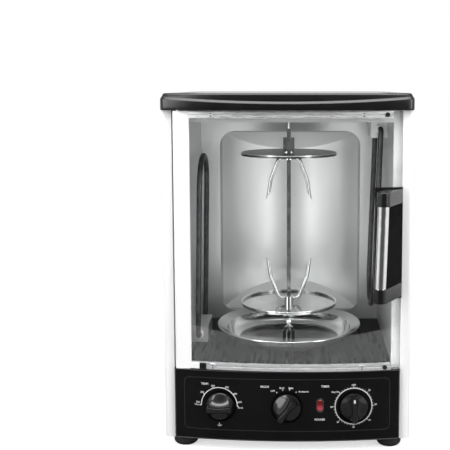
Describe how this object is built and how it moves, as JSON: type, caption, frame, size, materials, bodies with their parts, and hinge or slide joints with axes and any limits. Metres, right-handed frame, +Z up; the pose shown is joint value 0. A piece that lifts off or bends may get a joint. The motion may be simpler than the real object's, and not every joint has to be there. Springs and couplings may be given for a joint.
{
  "type": "rotisserie oven",
  "caption": "Upright countertop rotisserie oven with a curved glass door, side heating elements and a motor-turned vertical spindle with forks over a drip tray.",
  "frame": {"origin": "on the table under the middle of the oven's overall box", "axes": "+Z up, -Y out of the front, +X to the right seen from the front"},
  "size_m": [0.345, 0.384, 0.4975],
  "materials": {
    "white_enamel": "satin",
    "grey_enamel": "satin",
    "black_plastic": "satin moulded",
    "rubber_black": "matte",
    "brushed_plate": "brushed",
    "liner_steel": "smooth rolled",
    "zinc_sheet": "zinc coated",
    "dark_screw": "blackened",
    "rail_aluminium": "brushed anodised",
    "clear_glass": "clear tempered",
    "chrome_bright": "polished",
    "heater_sheath": "dark oxide",
    "white_ceramic": "matt",
    "red_lens": "translucent gloss",
    "beige_plastic": "moulded",
    "brass_bush": "turned"
  },
  "bodies": {
    "case": {"base_pan": "zinc_sheet", "feet": "rubber_black", "case_screws": "dark_screw", "left_side_panel": "white_enamel", "right_side_panel": "white_enamel", "back_panel": "white_enamel", "cord_gland": "black_plastic", "top_lid": "black_plastic", "top_plate": "brushed_plate", "control_panel": "black_plastic", "control_bracket": "zinc_sheet", "thermostat": "beige_plastic", "mode_switch": "beige_plastic", "timer_unit": "beige_plastic", "lamp_bezel": "black_plastic", "lamp_lens": "red_lens", "jambs": "grey_enamel", "head_strip": "grey_enamel", "sill_strip": "grey_enamel", "cavity_side_walls": "liner_steel", "cavity_ceiling": "liner_steel", "cavity_floor": "liner_steel", "cavity_back": "liner_steel", "left_heater": "heater_sheath", "right_heater": "heater_sheath", "heater_brackets": "liner_steel", "heater_bushes": "white_ceramic", "drive_motor": "zinc_sheet", "motor_bracket": "zinc_sheet", "spindle_bearing": "brass_bush", "hinge_bearings": "zinc_sheet", "door_magnet": "black_plastic"},
    "door": {"door_glass": "clear_glass", "door_stile": "white_enamel", "door_top_rail": "rail_aluminium", "door_bottom_rail": "rail_aluminium", "hinge_pins": "chrome_bright", "door_screws": "dark_screw", "handle_base": "black_plastic", "handle_caps": "black_plastic", "handle_tube": "chrome_bright", "door_keeper": "zinc_sheet"},
    "drive": {"drive_socket": "chrome_bright"},
    "spindle": {"spindle_bar": "chrome_bright"},
    "upper_fork": {"upper_disc": "chrome_bright", "upper_fork_hub": "chrome_bright", "upper_prongs": "chrome_bright"},
    "upper_screw": {"upper_thumbscrew": "chrome_bright"},
    "lower_fork": {"lower_disc": "chrome_bright", "lower_fork_hub": "chrome_bright", "lower_prongs": "chrome_bright"},
    "lower_screw": {"lower_thumbscrew": "chrome_bright"},
    "tray": {"drip_tray": "chrome_bright"},
    "temperature_control": {"temperature_knob": "black_plastic", "temperature_shaft": "brushed_plate"},
    "mode_control": {"mode_knob": "black_plastic", "mode_shaft": "brushed_plate"},
    "timer_control": {"timer_knob": "black_plastic", "timer_shaft": "brushed_plate"}
  },
  "joints": [
    {"name": "door_hinge", "type": "hinge", "parent": "case", "child": "door", "pos_m": [-0.149, -0.136, 0.295], "axis": [0, 0, -1], "range_deg": [0, 105]},
    {"name": "drive_spin", "type": "hinge", "parent": "case", "child": "drive", "pos_m": [0, 0.014, 0.11], "axis": [0, 0, 1], "continuous": true},
    {"name": "spindle_lift", "type": "slide", "parent": "drive", "child": "spindle", "axis": [0, 0, 1], "range_m": [0, 0.014]},
    {"name": "upper_fork_slide", "type": "slide", "parent": "spindle", "child": "upper_fork", "axis": [0, 0, 1], "range_m": [-0.04, 0]},
    {"name": "lower_fork_slide", "type": "slide", "parent": "spindle", "child": "lower_fork", "axis": [0, 0, 1], "range_m": [0, 0.025]},
    {"name": "upper_screw_turn", "type": "hinge", "parent": "upper_fork", "child": "upper_screw", "pos_m": [0, 0.024, 0.4185], "axis": [0, 1, 0], "range_deg": [-180, 0]},
    {"name": "lower_screw_turn", "type": "hinge", "parent": "lower_fork", "child": "lower_screw", "pos_m": [0, 0.024, 0.1588], "axis": [0, 1, 0], "range_deg": [-180, 0]},
    {"name": "tray_lift", "type": "slide", "parent": "case", "child": "tray", "axis": [0, 0, 1], "range_m": [0, 0.006]},
    {"name": "temperature_turn", "type": "hinge", "parent": "case", "child": "temperature_control", "pos_m": [-0.093, -0.144, 0.065], "axis": [0, 1, 0], "range_deg": [-90, 185]},
    {"name": "mode_turn", "type": "hinge", "parent": "case", "child": "mode_control", "pos_m": [0, -0.149, 0.065], "axis": [0, 1, 0], "range_deg": [-66, 0]},
    {"name": "timer_turn", "type": "hinge", "parent": "case", "child": "timer_control", "pos_m": [0.093, -0.144, 0.065], "axis": [0, 1, 0], "range_deg": [-45, 270]}
  ]
}
